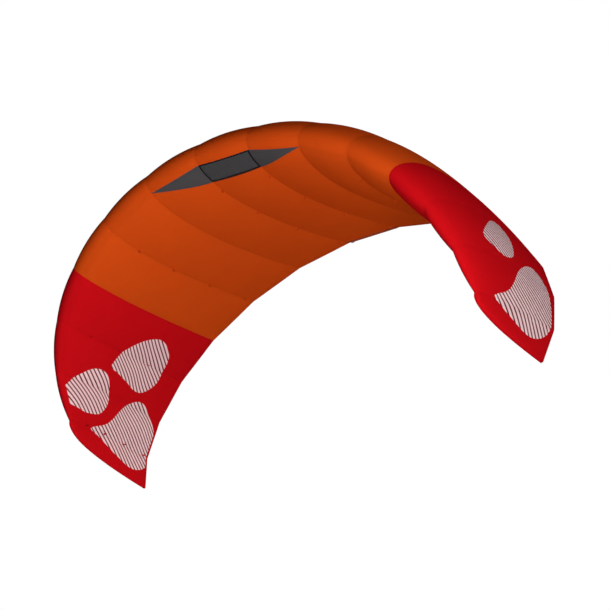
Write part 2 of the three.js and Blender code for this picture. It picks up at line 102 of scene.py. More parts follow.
# %% Light and background
WORLD_LIGHT = 0.05
LAMP_DISTANCE = 9.0
LAMPS = {
    "key_light": (48, -24, 0.80, 3.0),
    "front_light": (0, -8, 0.10, 4.0),
    "back_light": (-140, 38, 0.50, 4.0),
    "far_light": (155, 42, 0.35, 4.0),
    "side_light": (-130, 0, 0.22, 3.0),
}
FLOOR_HEIGHT = -5.2
FLOOR_SIZE = 60.0
FLOOR_GREY = (0.4, 0.4, 0.4, 1.0)
FLOOR_GLOW = 0.96
WHITE = (1.0, 1.0, 1.0, 1.0)

scene.view_settings.view_transform = "Standard"


def seen_background(tree):
    """A value that is 1 for rays from the camera, a gloss or a clear piece, and 0 for light."""
    path = tree.nodes.new("ShaderNodeLightPath")
    total = path.outputs["Is Camera Ray"]
    for other in ("Is Glossy Ray", "Is Transmission Ray"):
        both = tree.nodes.new("ShaderNodeMath")
        both.operation = "MAXIMUM"
        tree.links.new(total, both.inputs[0])
        tree.links.new(path.outputs[other], both.inputs[1])
        total = both.outputs[0]
    return total


def show_or_light(tree, lighting, shown, output):
    """Uses one shader for the light it gives and another where it is looked at."""
    choose = tree.nodes.new("ShaderNodeMixShader")
    tree.links.new(seen_background(tree), choose.inputs["Fac"])
    tree.links.new(lighting.outputs[0], choose.inputs[1])
    tree.links.new(shown.outputs[0], choose.inputs[2])
    tree.links.new(choose.outputs[0], tree.nodes.new(output).inputs["Surface"])


world = bpy.data.worlds.new("studio")
scene.world = world
world.use_nodes = True
tree = world.node_tree
tree.nodes.clear()
soft = tree.nodes.new("ShaderNodeBackground")
soft.inputs["Strength"].default_value = WORLD_LIGHT
white = tree.nodes.new("ShaderNodeBackground")
white.inputs["Color"].default_value = WHITE
show_or_light(tree, soft, white, "ShaderNodeOutputWorld")

for name, (azimuth, elevation, level, size) in LAMPS.items():
    data = bpy.data.lights.new(name, "AREA")
    data.shape = "DISK"
    data.size = size
    # At level 1 a white card that faces the lamp renders white.
    data.energy = level * (math.pi * LAMP_DISTANCE) ** 2
    lamp = new_object(name, data)
    look_from(lamp, azimuth, elevation, LAMP_DISTANCE)
    print(name, "at", tuple(round(c, 1) for c in lamp.location))

# %% Floor
floor_mesh = bmesh.new()
bmesh.ops.create_grid(floor_mesh, x_segments=1, y_segments=1, size=FLOOR_SIZE / 2)
bmesh.ops.translate(floor_mesh, verts=floor_mesh.verts, vec=(0, 0, FLOOR_HEIGHT))
floor_data = bpy.data.meshes.new("floor")
floor_mesh.to_mesh(floor_data)
floor_mesh.free()
new_object("floor", floor_data)

floor_paint = bpy.data.materials.new("pale_floor")
floor_paint.use_nodes = True
tree = floor_paint.node_tree
tree.nodes.clear()
matt = tree.nodes.new("ShaderNodeBsdfDiffuse")
matt.inputs["Color"].default_value = FLOOR_GREY
glow = tree.nodes.new("ShaderNodeEmission")
glow.inputs["Strength"].default_value = FLOOR_GLOW
both = tree.nodes.new("ShaderNodeAddShader")
tree.links.new(matt.outputs[0], both.inputs[0])
tree.links.new(glow.outputs[0], both.inputs[1])
show_or_light(tree, matt, both, "ShaderNodeOutputMaterial")
floor_data.materials.append(floor_paint)
print("floor at", FLOOR_HEIGHT, "m")

# %% [markdown]
# ## The kite's plan
# A kite maker draws a foil kite as a plan, an arch and a rib profile. Every width, chord and angle is
# given at mid-span and changes smoothly towards the tips. A place on the kite is a station along the
# span, where the ribs stand at every half number, and a number u round the rib's outline: -1 is the
# trailing edge on top, 0 the nose and +1 the trailing edge underneath.

# %% Plan
CENTRE_CELL_WIDTH = 0.290
WIDTH_LOSS = (0.79, -0.333)
CENTRE_CHORD = 1.086
CHORD_LOSS = (0.605, 0.068)
SWEEP = (0.404, 0.112)
TILT_PER_CELL = (10.84, 2.89, 0.74)
THICKNESS = (0.219, -0.021, -0.218)
TWIST = (3.08, -4.92)
TWIST_CENTRE = 0.3
TIP_CURVE = 0.42
TIP_PULL = 0.046
CELLS_PER_WING = 7
ORANGE_CELLS_PER_WING = 3
LAST_RIB = CELLS_PER_WING - 0.5
TIP = CELLS_PER_WING + 0.5
ARC_STEPS = 300


def lerp(a, b, t):
    return a + (b - a) * t


def series(start, factors, a):
    return start + factors[0] * a**2 + factors[1] * a**4


def width_at(station):
    return CENTRE_CELL_WIDTH * (1 - series(0, WIDTH_LOSS, station / TIP))


def chord_at(station):
    return CENTRE_CHORD * (1 - series(0, CHORD_LOSS, station / TIP))


def sweep_at(station):
    return series(0, SWEEP, station / TIP)


def tilt_at(station):
    a = station / TIP
    per_cell = TILT_PER_CELL[0] + TILT_PER_CELL[1] * a + TILT_PER_CELL[2] * a * a
    return math.radians(station * per_cell)


# The arch, added up from mid-span to the tip: across, up, and the length along the cloth.
arch = [(0.0, 0.0, 0.0)]
for i in range(ARC_STEPS):
    middle = TIP * (i + 0.5) / ARC_STEPS
    step = width_at(middle) * TIP / ARC_STEPS
    across, up, run = arch[-1]
    tilt = tilt_at(middle)
    arch.append((across + step * math.cos(tilt), up - step * math.sin(tilt), run + step))


def arch_point(station):
    place = station / TIP * ARC_STEPS
    i = min(int(place), ARC_STEPS - 1)
    return [lerp(a, b, place - i) for a, b in zip(arch[i], arch[i + 1])]


print("span along the cloth", round(2 * arch[-1][2], 3), "m")

# %% [markdown]
# ## The rib profile
# The profile is a round nose and a sharp tail with a little camber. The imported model's zero point is
# the eye of the front bridle tabs, so the plan is shifted until its centre rib lies where the packed
# one does.

# %% Rib profile
SKIN_OUTSIDE = 0.0014
TAB_ROWS = (0.17, 0.4, 0.66, 0.93)
TAB_DROP = 0.010
CAMBER = 0.0095
CAMBER_AT = 0.2
NOSE_BOW = 0.2969
BOW_TERMS = (-0.126, -0.3516, 0.2843, -0.1036)
FINE_STEP = 1e-4
WIDE_STEP = 1e-3


def half_profile(x, thickness):
    """Half the height of a section whose greatest height is its thickness."""
    bow = NOSE_BOW * math.sqrt(x)
    for power, term in enumerate(BOW_TERMS, 1):
        bow += term * x**power
    return 5 * thickness * bow


def camber_line(x):
    if x < CAMBER_AT:
        return CAMBER / CAMBER_AT**2 * (2 * CAMBER_AT * x - x * x)
    return CAMBER / (1 - CAMBER_AT) ** 2 * (1 - 2 * CAMBER_AT + 2 * CAMBER_AT * x - x * x)


def outline(station, u, fullness=1.0):
    """Distance aft and height of a point of the outline, in the plane of its rib."""
    rib = min(station, LAST_RIB)
    chord = chord_at(rib)
    x = u * u
    thickness = series(THICKNESS[0], THICKNESS[1:], rib / TIP)
    twist = math.radians(TWIST[0] + TWIST[1] * (rib / TIP) ** 2)
    height = camber_line(x) - math.copysign(half_profile(x, thickness), u) * fullness
    aft = sweep_at(rib) + chord * x - TIP_PULL * (station - rib) * x
    return aft, (height - (x - TWIST_CENTRE) * math.sin(twist)) * chord


def grown_outline(station, u, grow, fullness=1.0):
    """The same point moved outwards, and the outward direction."""
    before = outline(station, u - FINE_STEP, fullness)
    after = outline(station, u + FINE_STEP, fullness)
    along = (after[0] - before[0], after[1] - before[1])
    length = math.hypot(*along)
    out = (along[1] / length, -along[0] / length)
    aft, height = outline(station, u, fullness)
    return aft + grow * out[0], height + grow * out[1], out


tab_aft, tab_height, _ = grown_outline(0.5, math.sqrt(TAB_ROWS[0]), SKIN_OUTSIDE)
tab_rise = arch_point(0.5)[1] + (tab_height - TAB_DROP) * math.cos(tilt_at(0.5))
ORIGIN = Vector((0, tab_aft, tab_rise))
print("origin of the plan", tuple(round(c, 4) for c in ORIGIN))


def tip_curved(distance, u):
    """The station of a point; beyond the last rib it is drawn in near the nose, to round the tip."""
    beyond = max(distance - LAST_RIB, 0)
    return LAST_RIB + beyond * (u * u) ** TIP_CURVE if beyond > 0 else distance


def edge_point(station, u, grow, fullness=1.0):
    """A point of a rib's outline, or of the flat tip edge, in space."""
    side = -1 if station < 0 else 1
    distance = abs(station)
    at = tip_curved(distance, u)
    aft, height, _ = grown_outline(distance, u, grow, fullness)
    across, up, _ = arch_point(at)
    tilt = tilt_at(at)
    place = Vector((side * (across + height * math.sin(tilt)), aft, up + height * math.cos(tilt)))
    return place - ORIGIN


# %% [markdown]
# ## How a skin swells
# Air pressure pushes each skin out between its two ribs, more on top than underneath. Beside a seam
# the cloth is also a little too long for the straight line of stitches, and it puckers in short
# shallow waves. The pucker dies away a few centimetres from the seam, and it is nothing on the seam
# itself, so that two neighbours always meet.

# %% Swell and puckers
UPPER_BULGE = 0.05
LOWER_BULGE = 0.025
BULGE_GROWTH = 0.4
BULGE_FADE = 0.4
NOSE_BLEND = 0.35
PUCKER = 0.00035
PUCKER_FROM_SEAM = 0.012
PUCKER_WAVE = 0.034
PUCKER_CHANGE = 9
PUCKER_STRENGTH = (0.6, 0.8)


def smoothstep(t, low, high):
    t = min(max((t - low) / (high - low), 0), 1)
    return t * t * (3 - 2 * t)


def is_tip(cell):
    return abs(cell) == CELLS_PER_WING


def bulge(cell, f, u):
    """How far a skin swells; f is 0 on the cell's left rib and 1 on its right rib."""
    if is_tip(cell):
        return 0.0
    share = lerp(UPPER_BULGE, LOWER_BULGE, smoothstep(u, -NOSE_BLEND, NOSE_BLEND))
    share *= max(1 - u * u, 0) ** BULGE_FADE
    growth = 1 + BULGE_GROWTH * (cell / CELLS_PER_WING) ** 2
    return width_at(cell) * share * growth * 4 * f * (1 - f)


def pucker(seam, run, seed):
    """A shallow wave beside a seam: seam is the distance from it and run the distance along it."""
    near = seam / PUCKER_FROM_SEAM
    weak, spread = PUCKER_STRENGTH
    strength = weak + spread * noise.noise(Vector((run * PUCKER_CHANGE, seed, 0)))
    return PUCKER * strength * near * math.exp(1 - near) * math.sin(2 * math.pi * run / PUCKER_WAVE)


def cell_point(cell, f, u, grow):
    """A point of a cell's skin."""
    out = grow + bulge(cell, f, u)
    to_tip = f if cell > 0 else 1 - f
    fullness = math.sqrt(max(1 - to_tip**2, 0)) if is_tip(cell) else 1.0
    left = edge_point(cell - 0.5, u, out, fullness)
    return left.lerp(edge_point(cell + 0.5, u, out, fullness), f)


def shifted(station, u, distance):
    """The u that lies a distance further round the outline."""
    here, there = (outline(abs(station), u + s * WIDE_STEP) for s in (-1, 1))
    return u + distance * 2 * WIDE_STEP / math.dist(here, there)


print("the centre cell swells by", round(bulge(0, 0.5, 0) * 1000, 1), "mm at the nose")


# %% [markdown]
# ## Striped patches
# Each wing carries rounded patches printed with wavy stripes. They are plain pebble shapes, drawn
# flat: each one is a closed curve through a few points, given as the distance out from mid-span and
# the distance aft of the centre nose. Every point of the cloth stores how far it lies outside the
# nearest patch, which is below zero inside one, and the paint then only has to compare.

# %% Patch shapes
UNDER_PATCHES = (
    ((1.452, 0.286), (1.383, 0.333), (1.322, 0.407), (1.328, 0.495), (1.417, 0.560), (1.503, 0.527),
     (1.529, 0.446), (1.526, 0.380), (1.518, 0.318), (1.488, 0.292)),
    ((1.276, 0.490), (1.170, 0.538), (1.090, 0.616), (1.062, 0.715), (1.125, 0.818), (1.241, 0.830),
     (1.318, 0.765), (1.333, 0.700), (1.315, 0.630), (1.294, 0.545)),
    ((1.584, 0.494), (1.530, 0.590), (1.419, 0.680), (1.365, 0.775), (1.400, 0.870), (1.483, 0.936),
     (1.619, 0.908), (1.684, 0.795), (1.660, 0.675), (1.610, 0.550)),
)
TOP_PATCHES = (
    ((1.318, 0.410), (1.250, 0.465), (1.188, 0.545), (1.188, 0.625), (1.245, 0.657), (1.338, 0.632),
     (1.372, 0.555), (1.350, 0.460)),
    ((1.572, 0.470), (1.521, 0.564), (1.395, 0.660), (1.328, 0.790), (1.362, 0.885), (1.473, 0.908),
     (1.616, 0.874), (1.672, 0.755), (1.632, 0.590), (1.598, 0.505)),
)
CURVE_STEPS = 8
NEAR_PATCH = 0.03
TIP_STRIPES = 0.5


def closed_curve(knots):
    """A smooth closed line through the knots."""
    line = []
    count = len(knots)
    for i in range(count):
        a, b, c, d = (Vector(knots[(i + k) % count]) for k in (-1, 0, 1, 2))
        for step in range(CURVE_STEPS):
            t = step / CURVE_STEPS
            line.append(
                0.5 * (2 * b + (c - a) * t + (2 * a - 5 * b + 4 * c - d) * t**2
                       + (3 * b - 3 * c + d - a) * t**3)
            )
    return line


def outside_by(point, line):
    """Distance to a closed line, below zero inside it. Far away a rough distance is enough."""
    middle = sum(line, Vector((0, 0))) / len(line)
    rough = (point - middle).length - max((knot - middle).length for knot in line[::CURVE_STEPS])
    if rough > NEAR_PATCH:
        return rough
    nearest = math.inf
    inside = False
    for a, b in zip(line, line[1:] + line[:1]):
        edge = b - a
        t = min(max((point - a).dot(edge) / edge.length_squared, 0), 1)
        nearest = min(nearest, (point - a - edge * t).length)
        if (a.y > point.y) != (b.y > point.y):
            if point.x < a.x + (point.y - a.y) * edge.x / edge.y:
                inside = not inside
    return -nearest if inside else nearest


def flat_place(cell, f, u):
    """Distance out from mid-span and aft of the centre nose, for a point of a skin."""
    distance = abs(cell - 0.5 + f)
    return Vector((arch_point(tip_curved(distance, u))[2], outline(distance, u)[0]))


def stripe_place(flat):
    """The place that the stripes are counted from; they are set wider on the tip cell."""
    last = arch_point(LAST_RIB)[2]
    return Vector((min(flat.x, last) + max(flat.x - last, 0) * TIP_STRIPES, flat.y, 0))


under_lines = [closed_curve(knots) for knots in UNDER_PATCHES]
top_lines = [closed_curve(knots) for knots in TOP_PATCHES]
print("patches on one wing:", len(under_lines), "under,", len(top_lines), "on top")

# %% [markdown]
# ## Materials: small helpers
# Cloth is painted with nodes, and a helper for each step keeps that readable: a new material with its
# main shader, a maths node, a soft step, a mix of colours, clouds, a raised surface. What is the same
# all over a surface is set on the shader itself.


# %% Node helpers
def new_material(name, roughness, specular=0.3, metallic=0.0):
    material = bpy.data.materials.new(name)
    material.use_nodes = True
    shader = material.node_tree.nodes["Principled BSDF"]
    shader.inputs["Roughness"].default_value = roughness
    shader.inputs["Specular IOR Level"].default_value = specular
    shader.inputs["Metallic"].default_value = metallic
    return material, material.node_tree, shader


def maths(tree, operation, a, b=None, c=None):
    """A maths node; each input is a number or another node's output."""
    node = tree.nodes.new("ShaderNodeMath")
    node.operation = operation
    for socket, value in zip(node.inputs, (a, b, c)):
        if value is None:
            continue
        if isinstance(value, (int, float)):
            socket.default_value = value
        else:
            tree.links.new(value, socket)
    return node.outputs[0]


def ramp(tree, value, low, high):
    """0 below low and 1 above high, smooth between."""
    node = tree.nodes.new("ShaderNodeMapRange")
    node.interpolation_type = "SMOOTHSTEP"
    tree.links.new(value, node.inputs["Value"])
    node.inputs["From Min"].default_value = low
    node.inputs["From Max"].default_value = high
    return node.outputs[0]


def mix_colours(tree, share, a, b, blend="MIX"):
    node = tree.nodes.new("ShaderNodeMix")
    node.data_type = "RGBA"
    node.blend_type = blend
    for socket, value in zip((node.inputs[0], node.inputs[6], node.inputs[7]), (share, a, b)):
        if isinstance(value, (int, float, tuple)):
            socket.default_value = value
        else:
            tree.links.new(value, socket)
    return node.outputs[2]


def toned(tree, shader, colour, value, spread, least):
    """Gives a shader one colour, at a share of its tone that a value takes from least upwards."""
    tone = maths(tree, "MULTIPLY_ADD", value, spread, least)
    tree.links.new(mix_colours(tree, 1.0, colour, tone, "MULTIPLY"), shader.inputs["Base Color"])


def object_place(tree):
    return tree.nodes.new("ShaderNodeTexCoord").outputs["Object"]


def axes_of(tree, vector):
    node = tree.nodes.new("ShaderNodeSeparateXYZ")
    tree.links.new(vector, node.inputs[0])
    return node.outputs


def attribute(tree, name):
    node = tree.nodes.new("ShaderNodeAttribute")
    node.attribute_name = name
    return node


def clouds(tree, place, scale, detail=2.0):
    """Soft random variation between 0 and 1."""
    node = tree.nodes.new("ShaderNodeTexNoise")
    node.inputs["Scale"].default_value = scale
    node.inputs["Detail"].default_value = detail
    tree.links.new(place, node.inputs["Vector"])
    return node.outputs["Fac"]


def raised(tree, shader, height, depth, distance=0.001):
    node = tree.nodes.new("ShaderNodeBump")
    node.inputs["Strength"].default_value = depth
    node.inputs["Distance"].default_value = distance
    tree.links.new(height, node.inputs["Height"])
    tree.links.new(node.outputs["Normal"], shader.inputs["Normal"])


# %% [markdown]
# ## Ripstop cloth
# Ripstop is a thin plain weave with a thicker thread every few millimetres, which draws a fine square
# grid, and a painted highlight lightens those threads. The cloth's own UV map is in metres, so the grid
# has its real size on every panel. Beside each seam the cloth is doubled, with two rows of stitches,
# and a band of painted shade darkens it there, as the crease of a seam would be shaded. The patches
# are printed on the same cloth. Its specular level is nought, so that it has no gloss where it turns
# away from the eye.

# %% Ripstop cloth
RIPSTOP_GRID = 0.005
THREAD = 0.0006
WEAVE_GRID = 0.0005
WEAVE_THREAD = 0.0002
STITCH_PITCH = 0.0035
STITCH_GAP = (0.12, 0.2)
STITCH_WIDTH = (0.0006, 0.0002)
STITCH_ROWS = (0.003, 0.0085)
SEAM_SHADE_WIDTH = 0.011
STRIPE_PITCH = 0.0175
STRIPE_LINE = (0.155, 0.205)
STRIPE_SWAY = 0.03
STRIPE_TURN = math.radians(35)
INK_EDGE = 0.0008
SLOW_CLOUDS = 6.0
FINE_CLOUDS = 55.0
THREAD_SHINE = 0.10
STITCH_SHADE = 0.14
ORANGE = (0.68, 0.072, 0.0065, 1.0)
RED = (0.60, 0.0045, 0.0085, 1.0)
GREY = (0.071, 0.066, 0.070, 1.0)
STRIPE_WHITE = (0.99, 0.70, 0.72, 1.0)
STRIPE_DARK = (0.17, 0.010, 0.012, 1.0)
THREAD_HIGHLIGHT = (1.0, 0.9, 0.85, 1.0)
STITCH_DARK = (0.02, 0.004, 0.004, 1.0)


def grid_lines(tree, uv, pitch, thread):
    """1 on the threads of a square grid and 0 between them."""
    lines = []
    for axis in axes_of(tree, uv)[:2]:
        saw = maths(tree, "PINGPONG", axis, pitch / 2)
        lines.append(ramp(tree, saw, thread, 0.0))
    return maths(tree, "MAXIMUM", *lines)


def stitch_rows(tree, seam, run):
    """1 on the stitches that run beside a seam."""
    dash = maths(tree, "PINGPONG", run, STITCH_PITCH / 2)
    dash = ramp(tree, dash, *(STITCH_PITCH * share for share in STITCH_GAP))
    lines = []
    for row in STITCH_ROWS:
        off = maths(tree, "ABSOLUTE", maths(tree, "SUBTRACT", seam, row))
        lines.append(ramp(tree, off, *STITCH_WIDTH))
    return maths(tree, "MULTIPLY", maths(tree, "MAXIMUM", *lines), dash)


def printed_colour(tree, colour):
    """The cloth's own colour, and wavy stripes inside the patches."""
    place = attribute(tree, "flat_place").outputs["Vector"]
    flat = axes_of(tree, place)
    out = maths(tree, "MULTIPLY", flat[0], math.cos(STRIPE_TURN))
    across = maths(tree, "MULTIPLY_ADD", flat[1], -math.sin(STRIPE_TURN), out)
    sway = clouds(tree, place, 5.0, 0.0)
    across = maths(tree, "MULTIPLY_ADD", sway, STRIPE_SWAY, across)
    wave = maths(tree, "PINGPONG", across, STRIPE_PITCH / 2)
    stripe = ramp(tree, wave, *(STRIPE_PITCH * share for share in STRIPE_LINE))
    ink = mix_colours(tree, stripe, STRIPE_DARK, STRIPE_WHITE)
    inside = ramp(tree, attribute(tree, "outside_patch").outputs["Fac"], INK_EDGE, -INK_EDGE)
    return mix_colours(tree, inside, colour, ink)


def ripstop(name, colour, printed=False, seam_shade=0.02):
    material, tree, shader = new_material(name, roughness=0.5, specular=0.0)
    uv_map = tree.nodes.new("ShaderNodeUVMap")
    uv_map.uv_map = "cloth"
    uv = uv_map.outputs[0]
    seam = attribute(tree, "seam").outputs["Fac"]
    threads = grid_lines(tree, uv, RIPSTOP_GRID, THREAD)
    stitches = stitch_rows(tree, seam, axes_of(tree, uv)[1])

    # Slow and fine changes of tone, as handled cloth has, and a band of painted shade beside each seam.
    fine = clouds(tree, uv, FINE_CLOUDS)
    tone = maths(tree, "MULTIPLY_ADD", clouds(tree, uv, SLOW_CLOUDS), 0.10, 0.94)
    tone = maths(tree, "MULTIPLY_ADD", fine, 0.03, tone)
    painted_seam_band = ramp(tree, seam, SEAM_SHADE_WIDTH, SEAM_SHADE_WIDTH * 0.8)
    tone = maths(tree, "MULTIPLY_ADD", painted_seam_band, -seam_shade, tone)
    base = printed_colour(tree, colour) if printed else colour
    shaded = mix_colours(tree, 1.0, base, tone, "MULTIPLY")

    # The thicker threads get a painted highlight, and the stitches sit in their own shade.
    thread_highlight = maths(tree, "MULTIPLY", threads, THREAD_SHINE)
    shaded = mix_colours(tree, thread_highlight, shaded, THREAD_HIGHLIGHT, "SOFT_LIGHT")
    dark = maths(tree, "MULTIPLY", stitches, STITCH_SHADE)
    shaded = mix_colours(tree, dark, shaded, STITCH_DARK)
    tree.links.new(shaded, shader.inputs["Base Color"])

    weave = grid_lines(tree, uv, WEAVE_GRID, WEAVE_THREAD)
    height = maths(tree, "MULTIPLY_ADD", weave, 0.15, threads)
    height = maths(tree, "MULTIPLY_ADD", stitches, 2.0, height)
    raised(tree, shader, height, 0.25, 0.0002)
    tree.links.new(maths(tree, "MULTIPLY_ADD", fine, 0.12, 0.44), shader.inputs["Roughness"])
    return material


orange_cloth = ripstop("orange_ripstop", ORANGE)
red_cloth = ripstop("red_ripstop", RED, printed=True)
grey_cloth = ripstop("grey_ripstop", GREY, seam_shade=0.015)
print("cloths:", orange_cloth.name, red_cloth.name, grey_cloth.name)

# %% [markdown]
# ## Cloth panels
# A panel is cut from flat cloth between two ribs. It is made as a fine grid whose points are moved to
# the swollen surface, which keeps the threads running with the panel, and Solidify gives the cloth
# its thickness inwards. Four things are stored with the points: the UV in metres, how far the nearest
# seam and the nearest patch are, and the place that the stripes are counted from. Weighted normals
# stop the cloth's thin rim from shading its edge dark.

# %% Panel helper
CLOTH = 0.0004
SAME_POINT = 1e-6
PANEL_ROWS = 150
PANEL_COLUMNS = 22


def finished(name, bm, material, smooth=True):
    """Turns a bmesh into a piece that rides on the canopy."""
    mesh = bpy.data.meshes.new(name)
    bm.to_mesh(mesh)
    bm.free()
    if smooth:
        mesh.shade_smooth()
    for each in material if isinstance(material, (list, tuple)) else [material]:
        mesh.materials.append(each)
    piece = new_object(name, mesh)
    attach(piece, "canopy")
    return piece


def thickened(piece, thickness, offset=-1.0):
    """Thickens a piece inwards, or to both sides with an offset of 0."""
    solid = piece.modifiers.new("cloth thickness", "SOLIDIFY")
    solid.thickness = thickness
    solid.offset = offset
    shading = piece.modifiers.new("shading of the faces", "WEIGHTED_NORMAL")
    shading.weight = 100
    return piece


def grid_of(columns, rows):
    """A square grid with the corners (0, 0) and (1, 1)."""
    bm = bmesh.new()
    bmesh.ops.create_grid(bm, x_segments=columns, y_segments=rows, size=0.5)
    bmesh.ops.translate(bm, verts=bm.verts, vec=(0.5, 0.5, 0))
    return bm


def cloth_grid(columns, rows, place, cloth):
    """Moves a grid to place(s, t), with cloth(s, t) = (UV, seam distance, flat place, outside patch)."""
    bm = grid_of(columns, rows)
    uv = bm.loops.layers.uv.new("cloth")
    seam = bm.verts.layers.float.new("seam")
    flat = bm.verts.layers.float_vector.new("flat_place")
    outside = bm.verts.layers.float.new("outside_patch")
    where = {}
    for vert in bm.verts:
        s, t = vert.co.x, vert.co.y
        where[vert], vert[seam], vert[flat], vert[outside] = cloth(s, t)
        vert.co = place(s, t)
    for face in bm.faces:
        for loop in face.loops:
            loop[uv].uv = where[loop.vert]
    return bm


def sheet_area(bm):
    return sum(face.calc_area() for face in bm.faces)


def faces_out(bm):
    bmesh.ops.recalc_face_normals(bm, faces=bm.faces)


# %% [markdown]
# ## Skins
# The upper panel of a cell starts at the trailing edge, runs forward over the top and wraps round the
# nose to a seam just under it. The lower panel goes on from there to the trailing edge. In the middle
# three cells the lower panels start further back, behind the air inlet and its grey side panels.

# %% Skin panels
SEAM_AT = 0.0188
SKIN_END = 0.985
TIP_TIGHTEST = 0.15
INLET_REAR_AT = 0.1076
SIDE_BLUNT = 0.0015
SIDE_BOW = 1.2
TIP_START = 0.008
U_SEAM = math.sqrt(SEAM_AT)
U_END = math.sqrt(SKIN_END)
U_INLET_REAR = math.sqrt(INLET_REAR_AT)
GAP = 0.0003


def side_rear(cell, f):
    """The rear line of the grey panels beside the inlet, which run out to a point."""
    out = f if cell > 0 else 1 - f
    return lerp(U_INLET_REAR, shifted(1, U_SEAM, GAP + SIDE_BLUNT), out**SIDE_BOW)


def lower_front(cell, f):
    if cell == 0:
        return U_INLET_REAR
    return side_rear(cell, f) if abs(cell) == 1 else U_SEAM


def outline_run(station, u_from, u_to, steps):
    """Lengths along the outline from the nose at even steps of u."""
    rows = [outline(station, lerp(u_from, u_to, i / steps)) for i in range(steps + 1)]
    zero = outline(station, 0)
    run = [math.copysign(math.dist(rows[0], zero), u_from)]
    for a, b in zip(rows, rows[1:]):
        run.append(run[-1] + math.dist(a, b))
    return run


def side_name(number):
    return "left" if number < 0 else "right"


def skin_panel(name, node, cell, u0, u1, material, rows=PANEL_ROWS, lines=()):
    """A sewn panel between two lines u0(f) and u1(f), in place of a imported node."""
    station = min(abs(cell), LAST_RIB)
    runs = outline_run(station, u0(0.5), u1(0.5), rows)

    def at(s, t):
        return s, lerp(u1(s), u0(s), t)

    def width_here(u):
        return (edge_point(cell + 0.5, u, 0) - edge_point(cell - 0.5, u, 0)).length

    widths = [width_here(lerp(u1(0.5), u0(0.5), i / rows)) for i in range(rows + 1)]

    def measures(s, t):
        row = round(t * rows)
        run = runs[rows - row]
        edge = min(s, 1 - s) * widths[row]
        if is_tip(cell):
            edge = (1 - s if cell < 0 else s) * widths[row]
        ends = min(run - runs[0], runs[-1] - run)
        return run, widths[row], edge, ends

    def place(s, t):
        f, u = at(s, t)
        run, _, edge, _ = measures(s, t)
        tight = 1.0
        if is_tip(cell):
            to_tip = f if cell > 0 else 1 - f
            tight = max(math.sqrt(1 - to_tip**2), TIP_TIGHTEST)
        return cell_point(cell, f, u, SKIN_OUTSIDE * tight + pucker(edge, run, cell))

    def cloth(s, t):
        f, u = at(s, t)
        run, width, edge, ends = measures(s, t)
        flat = flat_place(cell, f, u)
        outside = min((outside_by(flat, line) for line in lines), default=1.0)
        return ((s - 0.5) * width, run), min(edge, ends), stripe_place(flat), outside

    bm = cloth_grid(PANEL_COLUMNS, rows, place, cloth)
    area = sheet_area(bm)
    piece = thickened(finished(name, bm, material), CLOTH)
    # The area declared is the finished panel's own, kept under that of its flat size. Only the two
    # grey side panels are over it.
    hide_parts(node)
    return piece, area


cells = range(-CELLS_PER_WING, CELLS_PER_WING + 1)
total = 0.0
for cell in cells:
    orange = abs(cell) <= ORANGE_CELLS_PER_WING
    cloth_look = orange_cloth if orange else red_cloth
    end = -TIP_START if is_tip(cell) else U_SEAM
    start = TIP_START if is_tip(cell) else None
    where = f"{side_name(cell)}_{abs(cell)}" if cell else "centre"
    _, top_area = skin_panel(
        f"top_skin_{where}", f"upper_panel_{where}", cell, lambda f: -U_END, lambda f: end,
        cloth_look, lines=() if orange else top_lines,
    )
    _, under_area = skin_panel(
        f"under_skin_{where}", f"lower_panel_{where}", cell,
        lambda f: start or lower_front(cell, f), lambda f: U_END,
        cloth_look, lines=() if orange else under_lines,
    )
    total += top_area + under_area
print("cloth in the skins:", round(total, 2), "square metres")

# %% [markdown]
# ## Ribs
# Each rib is a single piece of cloth in the shape of the profile, with round ports that let the air
# pass from cell to cell. They hide inside the canopy, so they are cut from plain dark grey cloth, and
# show only through the gauze. The outline is a circle of points moved onto the profile, the ports are
# smaller circles, and one fill closes the cloth between them.

# %% Ribs
RIB_END = 0.97
RIB_INSIDE = 0.0009
RIB_POINTS = 90
PORT_POINTS = 24
PORTS_AT = (0.16, 0.36, 0.58)
PORT_SHARE = 0.3


def rib_frame(station):
    """A rib's own frame: x aft, y up across the rib, z out along the span."""
    tilt = math.copysign(tilt_at(abs(station)), station)
    across, up, _ = arch_point(abs(station))
    place = Matrix((
        (0, math.sin(tilt), math.cos(tilt), math.copysign(across, station)),
        (1, 0, 0, 0),
        (0, math.cos(tilt), -math.sin(tilt), up),
        (0, 0, 0, 1),
    ))
    return Matrix.Translation(-ORIGIN) @ place


def ring_of(bm, points, radius, matrix=Matrix(), filled=False):
    """The points of a new circle."""
    return bmesh.ops.create_circle(
        bm, cap_ends=filled, segments=points, radius=radius, matrix=matrix)["verts"]


def edges_of(verts):
    return list(dict.fromkeys(edge for vert in verts for edge in vert.link_edges))


def fill_flat(bm, edges):
    """Fills between flat closed lines; a line inside another becomes a hole."""
    bmesh.ops.triangle_fill(bm, use_beauty=True, use_dissolve=False, edges=edges, normal=(0, 0, 1))


def cloth_from_flat(bm):
    """Gives a flat bmesh its UV map in metres."""
    uv = bm.loops.layers.uv.new("cloth")
    for face in bm.faces:
        for loop in face.loops:
            loop[uv].uv = loop.vert.co.xy


def rib_cloth(station):
    bm = bmesh.new()
    ring = ring_of(bm, RIB_POINTS, 1)
    end = math.sqrt(RIB_END)
    for i, vert in enumerate(ring):
        aft, height, _ = grown_outline(station, lerp(-end, end, i / (RIB_POINTS - 1)), RIB_INSIDE)
        vert.co = (aft, height, 0)
    for share in PORTS_AT:
        aft, top = outline(station, -math.sqrt(share))
        _, bottom = outline(station, math.sqrt(share))
        centre = Matrix.Translation((aft, (top + bottom) / 2, 0))
        ring_of(bm, PORT_POINTS, (top - bottom) * PORT_SHARE, centre)
    fill_flat(bm, bm.edges[:])
    return bm


